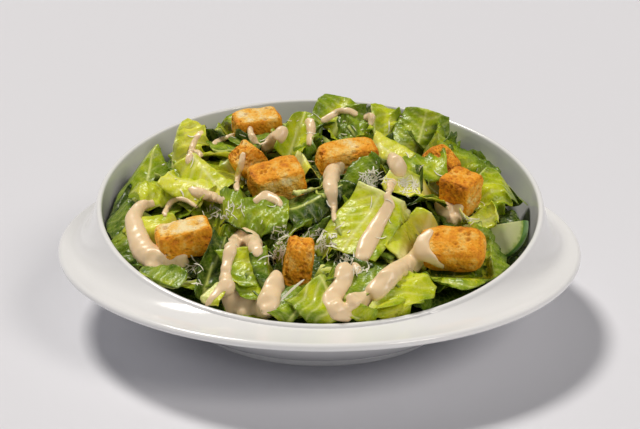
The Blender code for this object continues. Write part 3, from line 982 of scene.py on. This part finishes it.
def hit_at(tree, point):
    """(distance, direction, surface normal) on the line from the camera through a point."""
    way = np.array(point) - EYE
    way /= np.linalg.norm(way)
    hit, normal, _, distance = tree.ray_cast(Vector(EYE), Vector(way))
    if hit is None:
        return None, way, None
    return distance, way, np.array(normal)


def make_dressing(tree, material):
    """Blobs that follow the leaves along each strand, melted into one smooth mesh."""
    chance = np.random.default_rng(77)
    template = bmesh.new()
    bmesh.ops.create_icosphere(template, subdivisions=2, radius=1.0)
    ball = np.array([v.co for v in template.verts])
    ball_faces = np.array([[v.index for v in f.verts] for f in template.faces])
    template.free()
    pile = Pile()
    for strand in STRANDS.values():
        knots = np.array([(*over_mound(x, y), half) for x, y, half in strand])
        gaps = np.linalg.norm(np.diff(knots[:, :3], axis=0), axis=1)
        run = np.concatenate([[0.0], np.cumsum(gaps)])
        along = np.arange(0.0, run[-1] + 0.01, BALL_STEP)
        line = [softened(np.interp(along, run, knots[:, k]), 3) for k in range(4)]
        line = np.stack(line, axis=1)
        hits = [hit_at(tree, spot[:3]) for spot in line]
        depth = np.array([distance for distance, _, _ in hits])
        # A strand bridges the narrow gaps between leaves.
        padded = np.pad(depth, 4, mode="edge")
        nearest = np.array([padded[at : at + 9].min() for at in range(len(depth))])
        depth = np.minimum(depth, softened(nearest, 4) + 2.0)
        for (_, _, _, half), (_, way, _), far in zip(line, hits, depth):
            centre = EYE + way * far
            size = max(BALL_LEAST, BALL_SHARE * half)
            for _ in range(BALLS_WIDE if half > WIDE_HALF else BALLS_THIN):
                angle = chance.uniform(0, 2 * pi)
                out = chance.uniform(0, 1) ** 0.5 * 0.80 * half
                aim = centre + VIEW_RIGHT * cos(angle) * out + VIEW_UP * sin(angle) * out
                own, own_way, _ = hit_at(tree, aim)
                own = float(np.clip(own, far - 1.2, far + 1.0))
                pile.add(ball * size + EYE + own_way * (own + 0.05 * size), ball_faces)
    points, faces = pile.arrays()
    mesh = bpy.data.meshes.new("dressing_raw")
    mesh.from_pydata((points * MM).tolist(), [], faces)
    raw = placed("dressing_raw", mesh)
    melt = raw.modifiers.new("melt", "REMESH")
    melt.mode = "VOXEL"
    melt.voxel_size = MELT_VOXEL * MM
    soften = raw.modifiers.new("soften", "SMOOTH")
    soften.factor = 0.6
    soften.iterations = MELT_SMOOTHING
    bpy.context.view_layer.update()
    graph = bpy.context.evaluated_depsgraph_get()
    done = bpy.data.meshes.new_from_object(raw.evaluated_get(graph))
    bpy.data.objects.remove(raw)
    points = np.array([v.co for v in done.vertices]) / MM
    faces = [list(polygon.vertices) for polygon in done.polygons]
    piece("dressing_strands", points, faces, material)
    return points, faces


def strip(line, across, up):
    """A thin bar along a line of points, narrow at its ends: its points and faces."""
    share = np.linspace(-1.0, 1.0, len(line))
    taper = np.sqrt(np.clip(1.0 - share**4, 0.08, 1.0))
    sides = [across + up, up - across, -across - up, across - up]
    points = np.array([spot + side * t for spot, t in zip(line, taper) for side in sides])
    last = len(points) - 1
    faces = [[0, 1, 2, 3], [last, last - 1, last - 2, last - 3]]
    for step in range(len(line) - 1):
        for k in range(4):
            a, b = 4 * step + k, 4 * step + (k + 1) % 4
            faces.append([a, a + 4, b + 4, b])
    return points, faces


def laid_shred(tree, place, normal, chance):
    """One fine curved shred that follows what lies under it."""
    side = np.cross(normal, chance.normal(0, 1, 3))
    side /= max(np.linalg.norm(side), 1e-6)
    bend = np.cross(normal, side)
    length = 1.5 + 6.0 * chance.uniform(0, 1) ** 2
    half_width, half_thick = chance.uniform(0.18, 0.36), chance.uniform(0.08, 0.12)
    curve = chance.uniform(-0.8, 0.8)
    lift = chance.uniform(0.0, 0.06)
    line = []
    for share in np.linspace(-0.5, 0.5, 9):
        spot = place + side * share * length + bend * curve * length * (share * share - 0.08)
        start = spot + normal * 4.0
        hit, _, _, gap = tree.ray_cast(Vector(start), Vector(-normal), 8.0)
        depth = min(5.5, gap) if hit is not None else 5.0
        line.append(start - normal * (depth - 0.2 - lift * length * abs(share)))
    line = np.array(line)
    height = line @ normal
    line += np.outer(np.maximum(softened(height, 2) - height, 0.0), normal)
    return strip(line, bend * half_width, normal * half_thick)


def long_shred(tree):
    """One straight shred that leans from leaf to leaf, held by both its ends."""
    share = np.linspace(0.0, 1.0, 13)
    run = np.outer(1.0 - share, LONG_SHRED[0]) + np.outer(share, LONG_SHRED[1])
    hits = [hit_at(tree, over_mound(x, y)) for x, y in run]
    nearest = min(distance for distance, _, _ in hits)
    low, high = [EYE + hits[k][1] * (nearest - 0.5) for k in (0, -1)]
    share = np.linspace(0.0, 1.0, 9)
    line = low + np.outer(share, high - low) + np.outer(np.sin(pi * share), VIEW_UP) * 0.5
    across = np.cross(high - low, EYE - low)
    across /= np.linalg.norm(across)
    toward = np.cross(across, high - low)
    return strip(line, across * 0.55, toward / np.linalg.norm(toward) * 0.3)


def make_shreds(tree, croutons, material):
    """Clusters of shreds on the leaves; the croutons stay bare."""
    chance = np.random.default_rng(55)
    pile = Pile()
    for x, y, wide, deep, count in SHREDS:
        for _ in range(int(count * 1.2)):
            angle, out = chance.uniform(0, 2 * pi), chance.uniform(0, 1) ** 0.6
            at = (x + cos(angle) * wide * out * 1.1, y + sin(angle) * deep * out * 1.1)
            if np.hypot(*at) > SHREDS_REACH:
                continue
            distance, way, normal = hit_at(tree, over_mound(*at))
            if distance is None:
                continue
            normal = normal if normal @ way < 0 else -normal
            place = EYE + way * distance
            if any((np.abs((place - c) @ axes) < half + 1.0).all() for c, axes, half in croutons):
                continue
            pile.add(*laid_shred(tree, place, normal, chance))
    pile.add(*long_shred(tree))
    points, faces = pile.arrays()
    piece("parmesan_shreds", points, faces, material, sharp=50.0)


# ----- stage


def distant_light(name, place, strength, spread, color):
    """A soft light that reaches the whole floor alike, from the direction of this place."""
    light = bpy.data.lights.new(name, "SUN")
    light.energy = strength
    light.angle = radians(spread)
    light.color = color
    made = placed(name, light)
    made.location = place
    made.rotation_euler = (-Vector(place)).to_track_quat("-Z", "Y").to_euler()


def make_stage():
    """A pale round floor that rises to a low wall far behind the camera on every side."""
    section = [(0.6, 0.0), (3.0, 0.0), (5.0, 0.0)]
    section += [(5.0 + 0.8 * sin(a), 0.8 * (1 - cos(a))) for a in np.linspace(0, pi / 2, 12)[1:]]
    section += [(5.8, 1.6)]
    points, faces, size = swept_round(lambda angle: section, 72)
    count = len(points)
    faces += [[count, here, (here + size) % count] for here in range(0, count, size)]
    mesh = bpy.data.meshes.new("floor")
    mesh.from_pydata([*points, (0.0, 0.0, 0.0)], [], faces)
    mesh.shade_smooth()
    pale = Nodes("pale_stage").finish(Base_Color=(0.70, 0.705, 0.75, 1.0), Roughness=0.8)
    mesh.materials.append(pale)
    placed("floor", mesh)
    world = bpy.data.worlds.new("soft_room")
    world.use_nodes = True
    sky = world.node_tree.nodes["Background"].inputs
    sky["Color"].default_value = (0.97, 0.98, 1.0, 1.0)
    sky["Strength"].default_value = 0.14
    bpy.context.scene.world = world
    distant_light("key", (-0.50, 0.42, 1.33), 2.35, 15.0, (1.0, 0.955, 0.89))
    distant_light("fill", (0.85, -0.80, 1.00), 1.05, 22.0, (1.0, 0.94, 0.87))


def make_camera():
    data = bpy.data.cameras.new("camera")
    data.lens = CAMERA_LENS
    data.clip_start = 0.01
    camera = placed("camera", data)
    tilt = Matrix.Rotation(radians(90.0 - CAMERA_DOWN), 4, "X")
    roll = Matrix.Rotation(radians(CAMERA_ROLL), 4, "Z")
    camera.matrix_world = Matrix.Translation(CAMERA_AT) @ tilt @ roll
    bpy.context.scene.camera = camera


def main():
    make_camera()
    make_stage()
    scene = bpy.context.scene
    scene.view_settings.view_transform = "Standard"
    scene.view_settings.look = "None"
    make_bowl()
    green = leaf_material()
    frames = crouton_frames()
    cucumber = (np.array(CUCUMBER_PLACE), turned(*CUCUMBER_TURNS))
    core = make_core(green)
    piles = make_leaves(list(frames.values()), cucumber, green)
    breads = make_croutons(frames, bread_material())
    slice_half = make_cucumber(*cucumber, cucumber_material())
    blocks = [core, slice_half, *breads, *[pile.arrays() for pile in piles.values()]]
    dressing = make_dressing(surface_tree(blocks), dressing_material())
    make_shreds(surface_tree([*blocks, dressing]), list(frames.values()), parmesan_material())


main()
bpy.context.view_layer.update()
